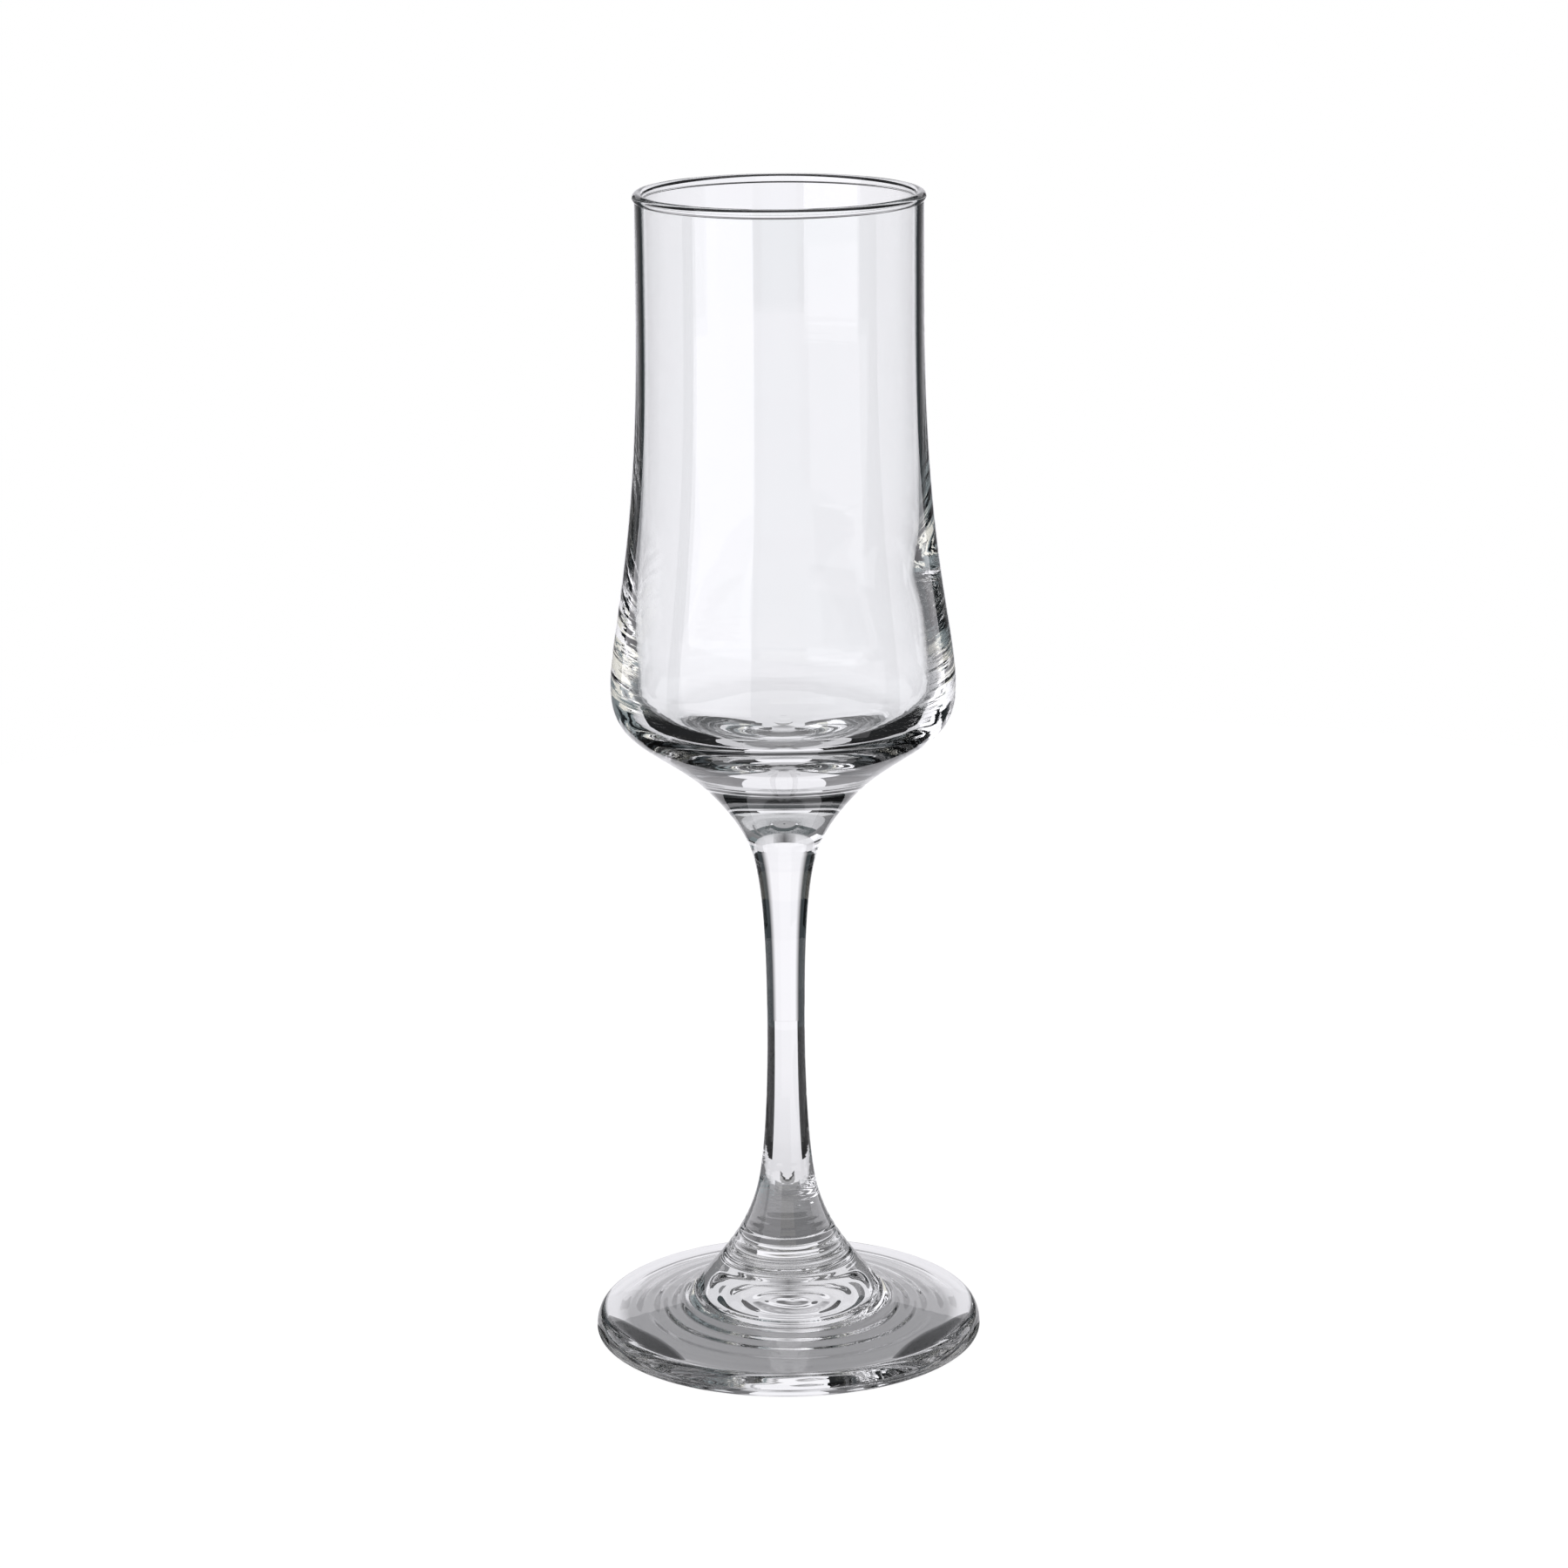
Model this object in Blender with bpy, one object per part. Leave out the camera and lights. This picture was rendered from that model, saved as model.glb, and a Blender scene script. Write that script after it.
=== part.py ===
# Champagne glass: a blown bowl, a drawn stem and a pressed foot, welded end to end while hot.
# Metres, +Z up. The origin is the centre of the standing ring, on the table.

import math

import bmesh
import bpy
from mathutils import Vector
from mathutils.geometry import interpolate_bezier

# Welds: both faces of a weld share one radius and one flare, and lie a small gap apart
WELD_GAP = 0.0003
FOOT_WELD_RADIUS = 0.0048
FOOT_WELD_FLARE = 0.17  # radius gained for each metre down from the weld
BOWL_WELD_RADIUS = 0.006
BOWL_WELD_FLARE = 0.38  # radius gained for each metre up from the weld

# Foot: a disc with a rounded edge, a gently sloping top and a dished underside, and a hill that sweeps up to
# the weld
FOOT_RADIUS = 0.0337
FOOT_HEIGHT = 0.028  # table to weld
FOOT_WIDEST_HEIGHT = 0.0008
EDGE_INSET = 0.0019  # widest point to the outer end of the sloping top
EDGE_HEIGHT = 0.0041
SLOPE_RADIUS = 0.0193  # inner end of the sloping top
SLOPE_HEIGHT = 0.0062
HILL_RADIUS = 0.0158  # lower end of the sweep, where it folds into the sloping top
HILL_HEIGHT = 0.0082
HILL_ANGLE = math.radians(52)  # steepness of the sweep there
RING_INSET = 0.0005  # widest point to the standing ring
RING_WIDTH = 0.0038
DISH_DEPTH = 0.0025

# Stem: narrowest at its waist
STEM_LENGTH = 0.0594
STEM_WAIST_RADIUS = 0.00327
STEM_WAIST_HEIGHT = 0.0265  # above the stem's lower end

# Bowl: a cone above the weld, a rounded shoulder, a belly, and a side drawn in to the waist
BOWL_HEIGHT = 0.112  # weld to rim
CONE_RADIUS = 0.0162  # upper end of the cone
CONE_HEIGHT = 0.0129
CONE_FLARE = 1.27  # radius gained for each metre of height at the cone's upper end
BELLY_RADIUS = 0.0294
BELLY_HEIGHT = 0.0282
WAIST_RADIUS = 0.02406
WAIST_BELOW_RIM = 0.0185
WALL = 0.0013  # at the waist and up to the rim
BELLY_WALL = 0.0036
INNER_BELLY_RISE = 0.002  # the inside is widest a little above the belly
NECK_RADIUS = 0.02405  # inside, where the bulge of the belly ends
NECK_HEIGHT = 0.05
NECK_FLARE = 0.048  # radius lost for each metre of height at the neck
FLOOR_ABOVE_CONE = 0.007
RIM_PROUD = 0.0003  # the rim's bead stands out from the wall
BEAD_BLEND = 0.0009  # height over which the bead's underside runs into the wall

# Handles of the curves, each a share of the stretch that it leaves or reaches
SWEEP_LEAVE, SWEEP_REACH = 0.48, 0.59
FOLD_LEAVE, FOLD_REACH = 0.38, 0.38
EDGE_LEAVE, EDGE_REACH = 0.7, 0.42
TUCK_LEAVE, TUCK_REACH = 0.58, 0.4
DISH_LEAVE, DISH_RISE, DISH_REACH = 0.28, 0.67, 0.41
TAPER_LEAVE, TAPER_REACH = 0.19, 0.43
STEM_FLARE_LEAVE, STEM_FLARE_REACH = 0.44, 0.19
CORNER_LEAVE, CORNER_REACH = 0.83, 0.94
INNER_BULGE_LEAVE, INNER_BULGE_REACH = 0.45, 0.4
INNER_SIDE_LEAVE, INNER_SIDE_REACH = 0.3, 0.45
SIDE_LEAVE, SIDE_REACH = 0.646, 0.154
SHOULDER_LEAVE, SHOULDER_REACH = 0.54, 0.445
CONE_LEAVE, CONE_REACH = 0.21, 0.36

# Fineness of the turned surfaces
SEGMENTS = 48
LONG_CURVE = 9
SHORT_CURVE = 5
SHARP_ANGLE = math.radians(35)
MERGE_DISTANCE = 1e-6

# Glass
GLASS_TINT = (0.93, 0.955, 0.945, 1.0)
GLASS_IOR = 1.52
BOWL_ROUGHNESS = 0.0
STEM_ROUGHNESS = 0.01
FOOT_ROUGHNESS = 0.02


def spot(radius, height):
    return Vector((radius, 0.0, height))


def curve(start, leave, reach, end, steps):
    """Points of one Bezier stretch. leave and reach are its handles, as steps from its two ends."""
    return interpolate_bezier(start, start + leave, end + reach, end, steps + 1)


def arc(centre, radius, first, last, steps):
    angles = [first + (last - first) * i / steps for i in range(steps + 1)]
    return [centre + spot(radius * math.cos(a), radius * math.sin(a)) for a in angles]


def chain(*runs):
    """One outline from several runs of points, without the points that two runs share."""
    outline = []
    for run in runs:
        for point in run:
            if not outline or (point - outline[-1]).length > MERGE_DISTANCE:
                outline.append(point)
    return outline


def glass(name, roughness):
    material = bpy.data.materials.new(name)
    material.use_nodes = True
    shader = material.node_tree.nodes["Principled BSDF"]
    shader.inputs["Base Color"].default_value = GLASS_TINT
    shader.inputs["Metallic"].default_value = 0.0
    shader.inputs["Roughness"].default_value = roughness
    shader.inputs["IOR"].default_value = GLASS_IOR
    shader.inputs["Transmission Weight"].default_value = 1.0
    return material


def turned(name, outline, height, material, parent):
    """A solid of revolution about Z, from an outline that starts and ends on the axis."""
    shape = bmesh.new()
    points = [shape.verts.new(point) for point in outline]
    lines = [shape.edges.new(pair) for pair in zip(points, points[1:])]
    bmesh.ops.spin(
        shape,
        geom=points + lines,
        axis=(0, 0, 1),
        cent=(0, 0, 0),
        angle=math.tau,
        steps=SEGMENTS,
    )
    bmesh.ops.remove_doubles(shape, verts=shape.verts[:], dist=MERGE_DISTANCE)
    bmesh.ops.recalc_face_normals(shape, faces=shape.faces[:])
    mesh = bpy.data.meshes.new(name)
    shape.to_mesh(mesh)
    shape.free()
    mesh.shade_smooth()
    mesh.set_sharp_from_angle(angle=SHARP_ANGLE)
    mesh.materials.append(material)
    piece = bpy.data.objects.new(name, mesh)
    piece.location.z = height
    piece.parent = parent
    bpy.context.scene.collection.objects.link(piece)
    return piece


def foot_outline():
    weld = spot(FOOT_WELD_RADIUS, FOOT_HEIGHT)
    slope_in = spot(SLOPE_RADIUS, SLOPE_HEIGHT)
    slope_out = spot(FOOT_RADIUS - EDGE_INSET, EDGE_HEIGHT)
    widest = spot(FOOT_RADIUS, FOOT_WIDEST_HEIGHT)
    ring_out = spot(FOOT_RADIUS - RING_INSET, 0)
    ring_in = ring_out - spot(RING_WIDTH, 0)
    dish = spot(0, DISH_DEPTH)

    # The sweep down the hill, then the fold into the sloping top
    hill = spot(HILL_RADIUS, HILL_HEIGHT)
    down_hill = spot(math.cos(HILL_ANGLE), -math.sin(HILL_ANGLE))
    down_slope = (slope_out - slope_in).normalized()
    sweep_drop = SWEEP_LEAVE * (weld.z - hill.z)
    sweep = curve(
        weld,
        spot(FOOT_WELD_FLARE * sweep_drop, -sweep_drop),
        -SWEEP_REACH * (hill.x - weld.x) * down_hill,
        hill,
        LONG_CURVE,
    )
    fold_size = (slope_in - hill).length
    fold = curve(
        hill,
        FOLD_LEAVE * fold_size * down_hill,
        -FOLD_REACH * fold_size * down_slope,
        slope_in,
        SHORT_CURVE,
    )
    edge = curve(
        slope_out,
        EDGE_LEAVE * EDGE_INSET * down_slope,
        spot(0, EDGE_REACH * (slope_out.z - widest.z)),
        widest,
        SHORT_CURVE,
    )
    tuck = curve(
        widest,
        spot(0, -TUCK_LEAVE * widest.z),
        spot(TUCK_REACH * RING_INSET, 0),
        ring_out,
        SHORT_CURVE,
    )
    underside = curve(
        ring_in,
        spot(-DISH_LEAVE * ring_in.x, DISH_RISE * dish.z),
        spot(DISH_REACH * ring_in.x, 0),
        dish,
        LONG_CURVE,
    )
    return chain([spot(0, FOOT_HEIGHT)], sweep, fold, edge, tuck, underside)


def stem_outline():
    upper = spot(BOWL_WELD_RADIUS, STEM_LENGTH)
    waist = spot(STEM_WAIST_RADIUS, STEM_WAIST_HEIGHT)
    lower = spot(FOOT_WELD_RADIUS, 0)
    above = upper.z - waist.z
    below = waist.z - lower.z
    upper_drop = TAPER_LEAVE * above
    lower_rise = STEM_FLARE_REACH * below
    taper = curve(
        upper,
        spot(-BOWL_WELD_FLARE * upper_drop, -upper_drop),
        spot(0, TAPER_REACH * above),
        waist,
        LONG_CURVE,
    )
    flare = curve(
        waist,
        spot(0, -STEM_FLARE_LEAVE * below),
        spot(-FOOT_WELD_FLARE * lower_rise, lower_rise),
        lower,
        LONG_CURVE,
    )
    return chain([spot(0, STEM_LENGTH)], taper, flare, [spot(0, 0)])


def bowl_outline():
    floor = spot(0, CONE_HEIGHT + FLOOR_ABOVE_CONE)
    inner_belly = spot(BELLY_RADIUS - BELLY_WALL, BELLY_HEIGHT + INNER_BELLY_RISE)
    waist = spot(WAIST_RADIUS, BOWL_HEIGHT - WAIST_BELOW_RIM)
    inner_waist = waist - spot(WALL, 0)
    neck = spot(NECK_RADIUS, NECK_HEIGHT)
    belly = spot(BELLY_RADIUS, BELLY_HEIGHT)
    cone = spot(CONE_RADIUS, CONE_HEIGHT)
    weld = spot(BOWL_WELD_RADIUS, 0)

    # Inside, from the floor up to the waist
    corner = curve(
        floor,
        spot(CORNER_LEAVE * inner_belly.x, 0),
        spot(0, -CORNER_REACH * (inner_belly.z - floor.z)),
        inner_belly,
        LONG_CURVE,
    )
    bulge_rise = neck.z - inner_belly.z
    bulge_end = INNER_BULGE_REACH * bulge_rise
    inner_bulge = curve(
        inner_belly,
        spot(0, INNER_BULGE_LEAVE * bulge_rise),
        spot(NECK_FLARE * bulge_end, -bulge_end),
        neck,
        SHORT_CURVE,
    )
    side_rise = inner_waist.z - neck.z
    side_start = INNER_SIDE_LEAVE * side_rise
    inner_side = curve(
        neck,
        spot(-NECK_FLARE * side_start, side_start),
        spot(0, -INNER_SIDE_REACH * side_rise),
        inner_waist,
        LONG_CURVE,
    )

    # The rim's bead, flush with the inner wall and proud of the outer one
    bead_radius = (WALL + RIM_PROUD) / 2
    bead_centre = spot(inner_waist.x + bead_radius, BOWL_HEIGHT - bead_radius)
    bead = arc(bead_centre, bead_radius, math.pi, 0, 2 * SHORT_CURVE)
    bead_end = spot(waist.x, bead_centre.z - bead_radius - BEAD_BLEND)
    blend_handle = (bead_centre.z - bead_end.z) / 2
    bead_blend = curve(
        bead[-1], spot(0, -blend_handle), spot(0, blend_handle), bead_end, SHORT_CURVE
    )

    # Outside, from the waist down to the weld
    side_drop = waist.z - belly.z
    side = curve(
        waist, spot(0, -SIDE_LEAVE * side_drop), spot(0, SIDE_REACH * side_drop), belly, LONG_CURVE
    )
    shoulder_drop = belly.z - cone.z
    shoulder_rise = SHOULDER_REACH * shoulder_drop
    shoulder = curve(
        belly,
        spot(0, -SHOULDER_LEAVE * shoulder_drop),
        spot(CONE_FLARE * shoulder_rise, shoulder_rise),
        cone,
        LONG_CURVE,
    )
    cone_drop = CONE_LEAVE * cone.z
    weld_rise = CONE_REACH * cone.z
    flare = curve(
        cone,
        spot(-CONE_FLARE * cone_drop, -cone_drop),
        spot(BOWL_WELD_FLARE * weld_rise, weld_rise),
        weld,
        SHORT_CURVE,
    )
    return chain(corner, inner_bulge, inner_side, bead, bead_blend, side, shoulder, flare, [spot(0, 0)])


for leftover in list(bpy.data.objects):
    bpy.data.objects.remove(leftover, do_unlink=True)

assembly = bpy.data.objects.new("champagne_glass", None)
bpy.context.scene.collection.objects.link(assembly)

stem_base = FOOT_HEIGHT + WELD_GAP
bowl_base = stem_base + STEM_LENGTH + WELD_GAP
turned("foot", foot_outline(), 0.0, glass("foot_glass", FOOT_ROUGHNESS), assembly)
turned("stem", stem_outline(), stem_base, glass("stem_glass", STEM_ROUGHNESS), assembly)
turned("bowl", bowl_outline(), bowl_base, glass("bowl_glass", BOWL_ROUGHNESS), assembly)
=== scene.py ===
import math

import bpy
import numpy as np
from mathutils import Matrix, Vector


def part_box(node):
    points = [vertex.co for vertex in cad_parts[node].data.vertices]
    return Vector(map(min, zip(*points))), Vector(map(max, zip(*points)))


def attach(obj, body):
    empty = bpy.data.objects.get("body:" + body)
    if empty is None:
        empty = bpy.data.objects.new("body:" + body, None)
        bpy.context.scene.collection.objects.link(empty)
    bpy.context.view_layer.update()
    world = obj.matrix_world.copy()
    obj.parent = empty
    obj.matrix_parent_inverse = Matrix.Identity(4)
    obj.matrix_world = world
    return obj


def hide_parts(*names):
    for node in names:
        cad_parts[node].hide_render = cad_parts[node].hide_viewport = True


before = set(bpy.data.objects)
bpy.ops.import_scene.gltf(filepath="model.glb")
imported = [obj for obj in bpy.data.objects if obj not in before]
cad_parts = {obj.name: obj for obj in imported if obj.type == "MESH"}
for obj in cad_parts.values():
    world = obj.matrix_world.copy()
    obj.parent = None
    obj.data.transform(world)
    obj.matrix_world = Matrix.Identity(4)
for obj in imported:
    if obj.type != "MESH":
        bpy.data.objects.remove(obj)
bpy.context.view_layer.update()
print("frame: pieces", sorted(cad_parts))


# Profiles are rows of (radius, height) in metres; this is one row
def spot(radius, height):
    return np.array([radius, height], float)


# Cubic curve from start to end, with its two handles given as steps from those ends
def bend(start, leave, reach, end, count):
    t = np.linspace(0.0, 1.0, count)[:, None]
    s = 1.0 - t
    return s**3 * start + 3 * s**2 * t * (start + leave) + 3 * s * t**2 * (end + reach) + t**3 * end


# Even steps along the line from start to end
def straight(start, end, count):
    t = np.linspace(0.0, 1.0, count)[:, None]
    return start + (end - start) * t


# Joins runs into one outline and drops the point that two runs share
def joinRuns(*runs):
    rows = [runs[0]]
    rows += [run[1:] for run in runs[1:]]
    return np.concatenate(rows)


turning = {"segments": 300, "sharpAngle": 40.0}


# Six times the volume that the faces close in: every triangle with the origin, summed. Faces that point
# inwards give a sum below zero.
def sixVolumes(points, faces):
    corner = points[faces]
    total = 0.0
    for last in range(2, faces.shape[1]):
        across = np.cross(corner[:, last - 1], corner[:, last])
        total += np.einsum("ij,ij->i", corner[:, 0], across).sum()
    return total


# Turned surface: each row of the outline carried once round the Z axis, then moved by uneven.
# The outline leaves out its two ends on the axis. They come back as single points, which close the poles.
# caps says of the first and of the last pole's fan whether it takes the second material.
def turned(name, outline, poles, caps, uneven=None):
    segments = turning["segments"]
    angle = np.arange(segments) * (2 * math.pi / segments)
    radius = np.repeat(outline[:, :1], segments, axis=1)
    height = np.repeat(outline[:, 1:], segments, axis=1)
    if uneven is not None:
        radius, height = uneven(angle[None, :], np.arange(len(outline))[:, None], radius, height)
    grid = np.stack([radius * np.cos(angle), radius * np.sin(angle), height], axis=2)
    points = np.concatenate([grid.reshape(-1, 3), [[0, 0, poles[0]], [0, 0, poles[1]]]])

    index = np.arange(len(outline) * segments).reshape(len(outline), segments)
    after = np.roll(index, -1, axis=1)
    quads = np.stack([index[:-1], after[:-1], after[1:], index[1:]], axis=2).reshape(-1, 4)
    first = np.full(segments, len(points) - 2)
    last = np.full(segments, len(points) - 1)
    firstFan = np.stack([first, after[0], index[0]], axis=1)
    lastFan = np.stack([last, index[-1], after[-1]], axis=1)
    fans = np.concatenate([firstFan, lastFan])
    if sixVolumes(points, quads) + sixVolumes(points, fans) < 0:
        quads, fans = quads[:, ::-1], fans[:, ::-1]

    mesh = bpy.data.meshes.new(name)
    mesh.vertices.add(len(points))
    mesh.vertices.foreach_set("co", points.astype(np.float32).ravel())
    corners = np.concatenate([quads.ravel(), fans.ravel()]).astype(np.int32)
    sizes = np.concatenate([np.full(len(quads), 4), np.full(len(fans), 3)])
    starts = np.concatenate([[0], np.cumsum(sizes)[:-1]]).astype(np.int32)
    mesh.loops.add(len(corners))
    mesh.loops.foreach_set("vertex_index", corners)
    mesh.polygons.add(len(sizes))
    mesh.polygons.foreach_set("loop_start", starts)
    slots = np.zeros(len(sizes), np.int32)
    slots[len(quads):len(quads) + segments] = int(caps[0])
    slots[len(quads) + segments:] = int(caps[1])
    mesh.polygons.foreach_set("material_index", slots)
    mesh.update(calc_edges=True)
    mesh.validate()
    mesh.shade_smooth()
    mesh.set_sharp_from_angle(angle=math.radians(turning["sharpAngle"]))
    piece = bpy.data.objects.new(name, mesh)
    bpy.context.scene.collection.objects.link(piece)
    return piece


# Glass
glassLook = {
    "ior": 1.52, "clear": (1.0, 1.0, 1.0, 1.0), "green": (0.972, 0.988, 0.983, 1.0),
    "cordDetail": 1.5, "smearDetail": 3.0, "smearFrom": 0.45, "smearTo": 0.75,
}


# New node with some of its properties set
def addNode(tree, kind, **values):
    node = tree.nodes.new(kind)
    for name, value in values.items():
        setattr(node, name, value)
    return node


# Empty shader group whose sockets are all plain numbers
def newGroup(name, inputs, outputs):
    group = bpy.data.node_groups.new(name, "ShaderNodeTree")
    for socket in inputs:
        group.interface.new_socket(socket, in_out="INPUT", socket_type="NodeSocketFloat")
    for socket in outputs:
        group.interface.new_socket(socket, in_out="OUTPUT", socket_type="NodeSocketFloat")
    return group, group.nodes.new("NodeGroupInput"), group.nodes.new("NodeGroupOutput")


# Cords: fine level streaks left in drawn glass. Noise squeezed in height, fading at Low and at High.
def cordGroup():
    group, start, end = newGroup("glassCords", ["Fineness", "Breadth", "Low", "High", "Fade"], ["Height"])
    link = group.links.new
    place = addNode(group, "ShaderNodeTexCoord")
    split = addNode(group, "ShaderNodeSeparateXYZ")
    squeeze = addNode(group, "ShaderNodeCombineXYZ")
    link(place.outputs["Object"], split.inputs[0])
    for axis, scale in (("X", "Breadth"), ("Y", "Breadth"), ("Z", "Fineness")):
        scaled = addNode(group, "ShaderNodeMath", operation="MULTIPLY")
        link(split.outputs[axis], scaled.inputs[0])
        link(start.outputs[scale], scaled.inputs[1])
        link(scaled.outputs[0], squeeze.inputs[axis])
    streaks = addNode(group, "ShaderNodeTexNoise")
    streaks.inputs["Scale"].default_value = 1.0
    streaks.inputs["Detail"].default_value = glassLook["cordDetail"]
    link(squeeze.outputs[0], streaks.inputs["Vector"])
    total = streaks.outputs["Fac"]
    for edge, sign in (("Low", 1.0), ("High", -1.0)):
        gap = addNode(group, "ShaderNodeMath", operation="SUBTRACT")
        link(split.outputs["Z"], gap.inputs[0])
        link(start.outputs[edge], gap.inputs[1])
        share = addNode(group, "ShaderNodeMath", operation="DIVIDE")
        link(gap.outputs[0], share.inputs[0])
        link(start.outputs["Fade"], share.inputs[1])
        ease = addNode(group, "ShaderNodeMapRange", interpolation_type="SMOOTHSTEP")
        ease.inputs["From Min"].default_value = -0.5 * sign
        ease.inputs["From Max"].default_value = 0.5 * sign
        link(share.outputs[0], ease.inputs["Value"])
        faded = addNode(group, "ShaderNodeMath", operation="MULTIPLY")
        link(total, faded.inputs[0])
        link(ease.outputs["Result"], faded.inputs[1])
        total = faded.outputs[0]
    link(total, end.inputs["Height"])
    return group


# Handling: soft cloudy patches. Smear is a faint roughness, and Tone runs from 0 to 1 between two tints.
def handlingGroup():
    group, start, end = newGroup("glassHandling", ["Scale", "Most"], ["Smear", "Tone"])
    link = group.links.new
    place = addNode(group, "ShaderNodeTexCoord")
    clouds = addNode(group, "ShaderNodeTexNoise")
    clouds.inputs["Detail"].default_value = glassLook["smearDetail"]
    link(place.outputs["Object"], clouds.inputs["Vector"])
    link(start.outputs["Scale"], clouds.inputs["Scale"])
    patch = addNode(group, "ShaderNodeMapRange", interpolation_type="SMOOTHSTEP")
    patch.inputs["From Min"].default_value = glassLook["smearFrom"]
    patch.inputs["From Max"].default_value = glassLook["smearTo"]
    link(clouds.outputs["Fac"], patch.inputs["Value"])
    smear = addNode(group, "ShaderNodeMath", operation="MULTIPLY")
    link(patch.outputs["Result"], smear.inputs[0])
    link(start.outputs["Most"], smear.inputs[1])
    link(smear.outputs[0], end.inputs["Smear"])
    link(clouds.outputs["Fac"], end.inputs["Tone"])
    return group


cords = cordGroup()
handling = handlingGroup()


# Glass: two runs of cords as bump, a breath of smear in the roughness and a barely green tint
def glassMaterial(name, look):
    material = bpy.data.materials.new(name)
    material.use_nodes = True
    tree = material.node_tree
    link = tree.links.new
    shader = tree.nodes["Principled BSDF"]
    shader.inputs["IOR"].default_value = glassLook["ior"]
    shader.inputs["Transmission Weight"].default_value = 1.0
    marks = addNode(tree, "ShaderNodeGroup", node_tree=handling)
    marks.inputs["Scale"].default_value = look["smearScale"]
    marks.inputs["Most"].default_value = look["smearMost"]
    link(marks.outputs["Smear"], shader.inputs["Roughness"])
    tint = addNode(tree, "ShaderNodeMix", data_type="RGBA")
    tint.inputs["A"].default_value = glassLook["clear"]
    tint.inputs["B"].default_value = glassLook["green"]
    link(marks.outputs["Tone"], tint.inputs["Factor"])
    link(tint.outputs["Result"], shader.inputs["Base Color"])
    normal = None
    for run in look["cords"]:
        streaks = addNode(tree, "ShaderNodeGroup", node_tree=cords)
        for socket in ("Fineness", "Breadth", "Low", "High", "Fade"):
            streaks.inputs[socket].default_value = run[socket.lower()]
        bump = addNode(tree, "ShaderNodeBump")
        bump.inputs["Strength"].default_value = 1.0
        bump.inputs["Distance"].default_value = run["depth"]
        link(streaks.outputs["Height"], bump.inputs["Height"])
        if normal is not None:
            link(normal, bump.inputs["Normal"])
        normal = bump.outputs["Normal"]
    link(normal, shader.inputs["Normal"])
    return material


# Weld faces are clear, so that two pieces read as one run of glass
def weldMaterial():
    material = bpy.data.materials.new("weldFace")
    material.use_nodes = True
    tree = material.node_tree
    tree.nodes.remove(tree.nodes["Principled BSDF"])
    clear = tree.nodes.new("ShaderNodeBsdfTransparent")
    tree.links.new(clear.outputs[0], tree.nodes["Material Output"].inputs["Surface"])
    return material


# Welds: each lies in the middle of the frame's gap, and flares are steps in radius for each step up
welds = {"bowlRadius": 0.006, "bowlFlare": 0.38, "footRadius": 0.0048, "footFlare": 0.17, "slit": 0.000001}
bowlLow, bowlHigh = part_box("bowl")
stemLow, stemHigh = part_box("stem")
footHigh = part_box("foot")[1]
bowlWeldHeight = (bowlLow.z + stemHigh.z) / 2
footWeldHeight = (footHigh.z + stemLow.z) / 2


swellWaves = {"three": 1.6, "threeLag": 2.1, "rings": 1.2, "ringTurns": 9.0, "ringBend": 2.0}


# Swell of a poured surface: a two-sided, a three-sided and a five-sided wave and bent rings, added up across a
# disc, calm at its centre and fading out at its reach
def swell(angle, radius, reach, size, phase):
    share = np.clip(radius / reach, 0, 1)
    fade = (1 - share**2) ** 2
    two = share**2 * np.cos(2 * angle + phase)
    three = swellWaves["three"] * share**3 * np.cos(3 * angle - swellWaves["threeLag"] * phase)
    bent = swellWaves["ringTurns"] * share + swellWaves["ringBend"] * np.cos(angle + phase)
    rings = swellWaves["rings"] * share**2 * np.cos(bent)
    five = share**5 * np.cos(5 * angle + phase)
    return size * (two + three + rings + five) * fade


# Bowl: a pull is a curve's two handles, as shares of the rise or reach of its run
bowl = {
    "coneRadius": 0.0162, "coneHeight": 0.0129, "coneFlare": 1.27,
    "bellyHeight": 0.0282, "waistRadius": 0.02406, "waistBelowRim": 0.0185,
    "wall": 0.0013, "bellyWall": 0.0036, "innerBellyRise": 0.002, "floorAboveCone": 0.007,
    "neckRadius": 0.02405, "neckHeight": 0.050, "neckFlare": 0.048,
    "rimProud": 0.0003, "rimInside": 0.0001, "beadBlend": 0.0002, "beadPull": 0.6, "beadTurns": (0.6, 0.85),
    "floorPull": (0.65, 0.94), "bulgePull": (0.45, 0.4), "innerSidePull": (0.3, 0.45),
    "sidePull": (0.646, 0.154), "shoulderPull": (0.54, 0.445), "flarePull": (0.21, 0.36),
    "rows": {"floor": 44, "bulge": 20, "innerSide": 21, "throat": 4, "blend": 6, "bead": 29,
             "side": 40, "shoulder": 36, "flare": 20},
    "innerRows": 80, "shift": 0.0006, "shiftHeight": 0.134, "shiftSpread": 0.0095, "shiftToward": 45.0,
    "lean": 0.0010, "leanHeight": 0.130, "leanSpread": 0.016, "leanToward": 135.0,
    "sway": 0.00012, "swayLength": 0.014, "swaySpread": 1.2,
    "floorSwell": 0.00006, "swellReach": 0.026, "swellPhase": 0.7, "dimple": 0.0001, "dimpleRadius": 0.0017,
}


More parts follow.
